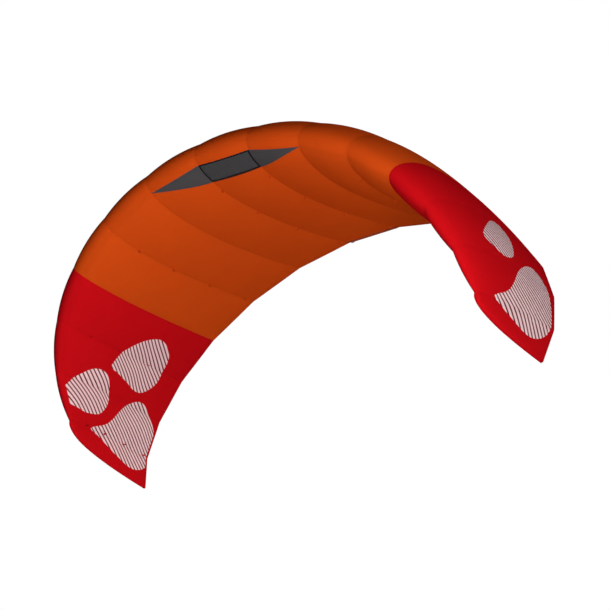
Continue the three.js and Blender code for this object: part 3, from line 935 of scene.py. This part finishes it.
rib_stations = [cell - 0.5 for cell in cells][1:]
for station in rib_stations:
    number = round(abs(station) + 0.5)
    where = f"{side_name(station)}_{number}"
    bm = rib_cloth(abs(station))
    cloth_from_flat(bm)
    area = sheet_area(bm)
    bmesh.ops.transform(bm, matrix=rib_frame(station), verts=bm.verts)
    faces_out(bm)
    piece = finished(f"rib_cloth_{where}", bm, grey_cloth, smooth=False)
    thickened(piece, CLOTH, 0.0)
    size = [high - low for low, high in zip(*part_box(f"rib_{where}"))]
    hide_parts(f"rib_{where}")
print(len(rib_stations), "ribs")

# %% [markdown]
# ## Bridle tabs
# Under every second rib four tabs of webbing are sewn into the seam, and the bridle lines are hitched
# to them. Each is a short folded ribbon with a round end and a sewn eye. It is drawn flat in the
# rib's plane as a rounded shape with a hole, filled and thickened, and on each face the eye gets a
# ring of thread, spun from a small circle.

# %% Bridle tabs
TAB_WIDTH = 0.010
TAB_THICK = 0.0026
TAB_EYE = 0.0036
TAB_RISE_INSIDE = 0.0085
TAB_POINTS = 24
TAB_ROUNDING = 0.0004
EYE_POINTS = 14
EYE_THREAD = 0.0005
EYE_THREAD_SIDES = 6
WEBBING_RIBS = 500.0
TAPE_BLACK = (0.012, 0.012, 0.014, 1.0)


def webbing(name, colour):
    """Narrow woven tape with fine ribs across it."""
    material, tree, shader = new_material(name, roughness=0.75, specular=0.03)
    place = object_place(tree)
    ribs = tree.nodes.new("ShaderNodeTexWave")
    ribs.bands_direction = "Y"
    ribs.inputs["Scale"].default_value = WEBBING_RIBS
    tree.links.new(place, ribs.inputs["Vector"])
    toned(tree, shader, colour, clouds(tree, place, 90.0), 0.2, 0.72)
    raised(tree, shader, ribs.outputs["Fac"], 0.4, 0.0002)
    return material


def rounded(piece, width):
    """Rounds a piece's sharp edges."""
    rounding = piece.modifiers.new("rounded edges", "BEVEL")
    rounding.width = width
    rounding.segments = 2
    rounding.limit_method = "ANGLE"
    return piece


orange_webbing = webbing("orange_webbing", ORANGE)
red_webbing = webbing("red_webbing", RED)
black_webbing = webbing("black_webbing", TAPE_BLACK)


def tab_eye(station, row):
    aft, height, _ = grown_outline(abs(station), math.sqrt(row), SKIN_OUTSIDE)
    return aft, height - TAB_DROP


def flat_tab(bm, aft, height):
    centre = Matrix.Translation((aft, height, 0))
    edge = ring_of(bm, TAB_POINTS, TAB_WIDTH / 2, centre)
    eye = ring_of(bm, EYE_POINTS, TAB_EYE / 2, centre)
    for vert in edge:
        if vert.co.y > height + SAME_POINT:
            vert.co.y += TAB_RISE_INSIDE
    fill_flat(bm, edges_of(edge + eye))


def eye_ring(bm, aft, height, side):
    """A ring of thread round the eye, on one face of the tab."""
    radius = TAB_EYE / 2 + EYE_THREAD
    start = Matrix.Translation((aft + radius, height, side * TAB_THICK / 2))
    start = start @ Matrix.Rotation(math.radians(90), 4, "X")
    circle = ring_of(bm, EYE_THREAD_SIDES, EYE_THREAD, start)
    bmesh.ops.spin(bm, geom=circle + edges_of(circle), cent=(aft, height, 0), axis=(0, 0, 1), dvec=(0, 0, 0),
                   angle=2 * math.pi, steps=EYE_POINTS, use_merge=True, use_duplicate=False)


tab_count = 0
for station in rib_stations:
    number = round(abs(station) + 0.5)
    if number % 2 == 0:
        continue
    where = f"{side_name(station)}_{number}"
    tabs, rings = bmesh.new(), bmesh.new()
    for row in TAB_ROWS:
        flat_tab(tabs, *tab_eye(station, row))
        for side in (-1, 1):
            eye_ring(rings, *tab_eye(station, row), side)
        tab_count += 1
    faces_out(rings)
    for bm in (tabs, rings):
        bmesh.ops.transform(bm, matrix=rib_frame(station), verts=bm.verts)
    orange = number <= ORANGE_CELLS_PER_WING
    look = orange_webbing if orange else red_webbing
    piece = finished(f"bridle_tabs_{where}", tabs, look, smooth=False)
    rounded(thickened(piece, TAB_THICK, 0.0), TAB_ROUNDING)
    finished(f"tab_eyes_{where}", rings, look)
print(tab_count, "bridle tabs")

# %% [markdown]
# ## Air inlet
# The kite fills through a window of gauze under the nose of the centre cell. Black tape binds its
# four sides, and grey panels carry the line of the window out to points on the next ribs. The gauze
# is a real net here: a grid laid on the nose, of which Wireframe keeps only the threads. The binding
# is a ring of grid faces, raised a little in the middle like folded tape.

# %% Inlet side panels and gauze
SIDE_ROWS = 20
INLET_STEPS = 20
GAUZE_PITCH = 0.0021
GAUZE_THREAD = 0.0007
GAUZE_GREY = (0.085, 0.083, 0.086, 1.0)
BINDING = 0.008
BINDING_STEPS = 4
BINDING_CROWN = 0.0006
BINDING_THICK = 0.0012
BINDING_LIFT = 0.0003

for cell in (-1, 1):
    skin_panel(f"grey_panel_{side_name(cell)}", f"inlet_side_{side_name(cell)}", cell,
               lambda f: U_SEAM, lambda f: side_rear(cell, f), grey_cloth, rows=SIDE_ROWS)

gauze_look, tree, shader = new_material("gauze_thread", roughness=0.7, specular=0.2)
toned(tree, shader, GAUZE_GREY, clouds(tree, object_place(tree), 60.0), 0.3, 0.85)

inlet_front = shifted(0.5, U_SEAM, GAP)
inlet_rear = shifted(0.5, U_INLET_REAR, 0)
inlet_run = outline_run(0.5, inlet_front, inlet_rear, INLET_STEPS)
inlet_depth = inlet_run[-1] - inlet_run[0]
inlet_width = width_at(0)
binding_u = BINDING * (inlet_rear - inlet_front) / inlet_depth
binding_f = BINDING / inlet_width
print("inlet", round(inlet_width, 3), "by", round(inlet_depth, 3), "m")


def plain_cloth(width, length):
    """The stored measures of a plain rectangle of cloth."""
    def cloth(s, t):
        edge = min(s * width, (1 - s) * width, t * length, (1 - t) * length)
        return ((s - 0.5) * width, t * length), edge, (0, 0, 0), 1.0
    return cloth


net = cloth_grid(
    round(inlet_width / GAUZE_PITCH), round(inlet_depth / GAUZE_PITCH),
    lambda s, t: cell_point(0, s, lerp(inlet_rear, inlet_front, t), SKIN_OUTSIDE - GAUZE_THREAD),
    plain_cloth(inlet_width, inlet_depth))
gauze = finished("gauze_net", net, gauze_look)
threads = gauze.modifiers.new("threads", "WIREFRAME")
threads.thickness = GAUZE_THREAD
threads.use_even_offset = False
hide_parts("inlet_gauze")

# %% Binding
BINDING_LONG_STEPS = 40
BINDING_SHORT_STEPS = 16


def bordered(t, steps, border):
    """Even steps over the middle, and finer ones over a border at each end."""
    step = t * (steps + 2 * BINDING_STEPS)
    if step < BINDING_STEPS:
        return border * step / BINDING_STEPS
    if step > steps + BINDING_STEPS:
        return 1 - border * (steps + 2 * BINDING_STEPS - step) / BINDING_STEPS
    return lerp(border, 1 - border, (step - BINDING_STEPS) / steps)


def on_border(t, steps):
    step = min(t, 1 - t) * (steps + 2 * BINDING_STEPS)
    return max(1 - step / BINDING_STEPS, 0)


def binding_place(s, t):
    f = bordered(s, BINDING_LONG_STEPS, binding_f)
    u = lerp(inlet_rear, inlet_front, bordered(t, BINDING_SHORT_STEPS, BINDING / inlet_depth))
    across = max(on_border(s, BINDING_LONG_STEPS), on_border(t, BINDING_SHORT_STEPS))
    crown = BINDING_CROWN * math.sin(math.pi * across)
    return cell_point(0, f, u, SKIN_OUTSIDE + BINDING_LIFT + crown)


ring = grid_of(BINDING_LONG_STEPS + 2 * BINDING_STEPS, BINDING_SHORT_STEPS + 2 * BINDING_STEPS)
middle = [
    face for face in ring.faces
    if not on_border(face.calc_center_median().x, BINDING_LONG_STEPS)
    and not on_border(face.calc_center_median().y, BINDING_SHORT_STEPS)
]
bmesh.ops.delete(ring, geom=middle, context="FACES")
for vert in ring.verts:
    vert.co = binding_place(vert.co.x, vert.co.y)
binding = thickened(finished("inlet_tape", ring, black_webbing), BINDING_THICK)
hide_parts("inlet_binding")
print("binding", BINDING * 1000, "mm wide")

# %% [markdown]
# ## One-way flap
# Behind the gauze hangs a flap of cloth, sewn along the rear edge. Wind pushes it open, and the air
# inside presses it shut when the kite lands. It rides on its own body, which turns about that rear
# edge.

# %% Flap
FLAP_SIDE_CLEARANCE = 0.014
FLAP_CORNER = 0.012
FLAP_REST = 0.00115
FLAP_COLUMNS = 40
FLAP_ROWS = 16
SKIN_LIFT = 0.0002
FLAP_CLOTH = 0.0005

flap_edge = FLAP_SIDE_CLEARANCE / width_at(0)
flap_depth = SKIN_LIFT - FLAP_REST - FLAP_CLOTH
flap_hinge = cell_point(0, flap_edge, inlet_rear - binding_u / 2, flap_depth)
flap_front = cell_point(0, flap_edge, inlet_front + binding_u / 2, flap_depth)
flap_aft = flap_front.y - flap_hinge.y
flap_rise = flap_front.z - flap_hinge.z
flap_length = math.hypot(flap_aft, flap_rise)
flap_width = width_at(0) - 2 * FLAP_SIDE_CLEARANCE
flap_run = Vector((0, flap_aft, flap_rise))


def flap_place(s, t):
    into_corner = max(t * flap_length - (flap_length - FLAP_CORNER), 0)
    cut_in = FLAP_CORNER - math.sqrt(max(FLAP_CORNER**2 - into_corner**2, 0))
    x = (s - 0.5) * (flap_width - 2 * cut_in)
    return Vector((x, flap_hinge.y, flap_hinge.z)) + flap_run * t


bm = cloth_grid(FLAP_COLUMNS, FLAP_ROWS, flap_place, plain_cloth(flap_width, flap_length))
flap = thickened(finished("flap_cloth", bm, grey_cloth), FLAP_CLOTH, 0.0)
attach(flap, "inlet_flap")
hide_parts("inlet_flap")
print("flap", round(flap_width, 3), "by", round(flap_length, 3), "m")

# %% [markdown]
# ## Trailing-edge hem and tip tape
# The two skins end a finger's width before the trailing edge, and a folded hem closes them. It is a
# grid bent round the edge like a strip of bias tape. The flat tips are closed in the same way by a
# narrow tape, which is a tube with a flattened section. Both take the colour of the cloth beside
# them.

# %% Trailing-edge hem
HEM_EDGE = 0.0013
HEM_START = 0.977
HEM_LIFT = 0.0005
HEM_ROWS = 20
HEM_COLUMNS_PER_CELL = 12
HEM_FOLD = 0.06


def hem_place(cell, f, t):
    """Round the trailing edge: t is 0 at the front edge on top and 1 at the front edge underneath."""
    from_fold = 2 * t - 1
    if abs(from_fold) < HEM_FOLD:
        turn = from_fold / HEM_FOLD * math.pi / 2
        top, bottom = (cell_point(cell, f, end, HEM_EDGE) for end in (-1, 1))
        round_off = Vector((0, HEM_EDGE * math.cos(turn), 0))
        return top.lerp(bottom, 0.5 + 0.5 * math.sin(turn)) + round_off
    share = (abs(from_fold) - HEM_FOLD) / (1 - HEM_FOLD)
    u = math.copysign(lerp(1, math.sqrt(HEM_START), share), from_fold)
    return cell_point(cell, f, u, lerp(HEM_EDGE, SKIN_OUTSIDE + HEM_LIFT, share**0.5))


def hem_grid(wing):
    """One strip along several cells."""
    count = len(wing)

    def split(s):
        place = s * count
        index = min(int(place + SAME_POINT), count - 1)
        return wing[index], place - index

    def cloth(s, t):
        cell, f = split(s)
        depth = chord_at(min(abs(cell), LAST_RIB)) * (1 - HEM_START)
        run = sum(width_at(c) for c in wing[: wing.index(cell)]) + f * width_at(cell)
        return (t * 2 * depth, run), min(t, 1 - t) * 2 * depth, (0, 0, 0), 1.0

    bm = cloth_grid(HEM_COLUMNS_PER_CELL * count, HEM_ROWS, lambda s, t: hem_place(*split(s), t), cloth)
    faces_out(bm)
    return bm


def paint_by_cell(bm):
    """Gives the faces of red cells the second material."""
    limit = abs(edge_point(LAST_RIB - ORANGE_CELLS_PER_WING, 1, 0).x)
    for face in bm.faces:
        face.material_index = 1 if abs(face.calc_center_median().x) > limit else 0


for wing in (range(-CELLS_PER_WING, 0), range(1, CELLS_PER_WING + 1)):
    bm = hem_grid(list(wing))
    paint_by_cell(bm)
    side = side_name(wing[0])
    area = sheet_area(bm)
    length = sum(width_at(cell) for cell in wing)
    hem = thickened(finished(f"folded_hem_{side}", bm, [orange_cloth, red_cloth]), CLOTH)
    # Its flat width is the finished hem's own area over its length.
    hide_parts(f"trailing_edge_hem_{side}")
    print("hem", side, round(length, 3), "by", round(area / length, 4), "m")

# %% Tip tape
TAPE_INSIDE = 0.0045
TAPE_OUTSIDE = 0.0085
TAPE_HALF = 0.0019
TAPE_AROUND = 20
TAPE_ALONG = 70
TAPE_SQUARE = 0.6
TAPE_START = 0.35
TAPE_TAPER = 0.12
TAPE_CLOTH = 0.03
TAPE_SEAM = 0.004


def tape_place(side, s, t):
    """A flattened tube round the tip edge: s goes round it and t along it."""
    u = lerp(TIP_START, U_END, t)
    here, before, after = (edge_point(side * TIP, v, 0, 0) for v in (u, u - WIDE_STEP, u + WIDE_STEP))
    tilt = side * tilt_at(tip_curved(TIP, u))
    up = Vector((math.sin(tilt), 0, math.cos(tilt)))
    out = (after - before).normalized().cross(up).normalized() * side
    turn = 2 * math.pi * s
    across = math.copysign(abs(math.cos(turn)) ** TAPE_SQUARE, math.cos(turn))
    lift = math.copysign(abs(math.sin(turn)) ** TAPE_SQUARE, math.sin(turn))
    middle = (TAPE_OUTSIDE - TAPE_INSIDE) / 2
    half = (TAPE_OUTSIDE + TAPE_INSIDE) / 2
    taper = min(TAPE_START + t / TAPE_TAPER, 1)
    return here + out * (middle + half * across) * taper + up * TAPE_HALF * lift


for side in (-1, 1):
    length = chord_at(LAST_RIB)
    bm = cloth_grid(TAPE_AROUND, TAPE_ALONG, lambda s, t: tape_place(side, s, t),
                    lambda s, t: ((s * TAPE_CLOTH, t * length), TAPE_SEAM, (0, 0, 0), 1.0))
    bmesh.ops.remove_doubles(bm, verts=bm.verts, dist=SAME_POINT)
    bmesh.ops.holes_fill(bm, edges=[edge for edge in bm.edges if edge.is_boundary], sides=0)
    faces_out(bm)
    tape = finished(f"edge_tape_{side_name(side)}", bm, red_cloth)
    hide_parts(f"tip_tape_{side_name(side)}")
print("hems and tip tapes done")

# %% [markdown]
# ## Deflation zip
# The centre cell has a zip in place of the hem, to let the air out before packing. Its tape folds
# round the trailing edge like the hem, a flat web carries the coil behind it, and the coil is a
# spiral of nylon, spun from a small circle that moves along as it turns. The circle is set edge-on to
# its path, so the wire comes out as a flat ribbon and not round. The slider and its pull keep the
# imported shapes, with their edges rounded as castings have them.

# %% Zip materials
ZIP_ORANGE = (0.42, 0.05, 0.006, 1.0)
COIL_ORANGE = (0.35, 0.045, 0.008, 1.0)
SLIDER_GREY = (0.25, 0.25, 0.27, 1.0)
PULL_RED = (0.5, 0.01, 0.012, 1.0)

tape_look, tree, shader = new_material("zip_tape_weave", roughness=0.8, specular=0.03)
weave = tree.nodes.new("ShaderNodeTexWave")
weave.bands_direction = "DIAGONAL"
weave.inputs["Scale"].default_value = 420.0
tree.links.new(object_place(tree), weave.inputs["Vector"])
toned(tree, shader, ZIP_ORANGE, weave.outputs["Fac"], 0.25, 0.8)
raised(tree, shader, weave.outputs["Fac"], 0.3, 0.0002)

coil_look, tree, shader = new_material("nylon_coil", roughness=0.4, specular=0.15)
toned(tree, shader, COIL_ORANGE, clouds(tree, object_place(tree), 300.0), 0.2, 0.9)

metal_look, tree, shader = new_material("coated_slider", roughness=0.4, specular=0.5, metallic=0.85)
scuffs = clouds(tree, object_place(tree), 900.0, 4.0)
tree.links.new(maths(tree, "MULTIPLY_ADD", scuffs, 0.35, 0.22), shader.inputs["Roughness"])
toned(tree, shader, SLIDER_GREY, scuffs, 0.3, 0.85)
raised(tree, shader, scuffs, 0.15, 0.0002)

tab_look, tree, shader = new_material("moulded_pull", roughness=0.5, specular=0.3)
grain = clouds(tree, object_place(tree), 1200.0)
toned(tree, shader, PULL_RED, grain, 0.15, 0.9)
raised(tree, shader, grain, 0.3, 0.0003)
print("zip finishes:", tape_look.name, coil_look.name, metal_look.name, tab_look.name)

# %% Zip tape and coil
COIL_RADIUS = 0.0016
COIL_WIRE = 0.0004
COIL_PITCH = 0.0014
COIL_SIDES = 6
STEPS_PER_TURN = 10
COIL_END = 0.0068
WEB = 0.0012
ZIP_COLUMNS = 60

_, tape_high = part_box("zip_tape")
coil_y = tape_high.y - COIL_RADIUS
trailing = edge_point(0.5, 1, 0)
coil_half = trailing.x - COIL_END

bm = hem_grid([0])
web = grid_of(ZIP_COLUMNS, 1)
for vert in web.verts:
    vert.co = ((vert.co.x * 2 - 1) * coil_half, lerp(trailing.y, coil_y, vert.co.y), trailing.z)
zip_tape = thickened(finished("zip_fabric", bm, tape_look), CLOTH)
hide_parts("zip_tape")
thickened(finished("zip_web", web, tape_look), WEB, 0.0)

coil = bmesh.new()
turns = int(2 * coil_half / COIL_PITCH)
start = Matrix.Translation((-coil_half, coil_y + COIL_RADIUS - COIL_WIRE, trailing.z))
start = start @ Matrix.Rotation(math.radians(90), 4, "X")
wire = ring_of(coil, COIL_SIDES, COIL_WIRE, start, filled=True)
bmesh.ops.spin(
    coil, geom=wire + edges_of(wire) + coil.faces[:], cent=(0, coil_y, trailing.z), axis=(1, 0, 0),
    dvec=(COIL_PITCH / STEPS_PER_TURN, 0, 0), angle=2 * math.pi * turns, steps=turns * STEPS_PER_TURN,
    use_merge=False, use_duplicate=False)
faces_out(coil)
finished("zip_spiral", coil, coil_look)
print("zip coil", turns, "turns over", round(2 * coil_half, 3), "m")

# %% Slider and pull
ROUNDING = 0.00025


def softened(name, node, body, material):
    """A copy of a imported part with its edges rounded."""
    bm = bmesh.new()
    bm.from_mesh(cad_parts[node].data)
    bmesh.ops.remove_doubles(bm, verts=bm.verts, dist=SAME_POINT)
    bmesh.ops.dissolve_limit(bm, angle_limit=math.radians(1), verts=bm.verts, edges=bm.edges)
    piece = rounded(finished(name, bm, material, smooth=False), ROUNDING)
    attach(piece, body)
    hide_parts(node)
    print(name, "rides on", body)


softened("slider_body", "zip_slider", "zip_slider", metal_look)
softened("pull_tab", "zip_pull", "zip_pull", tab_look)
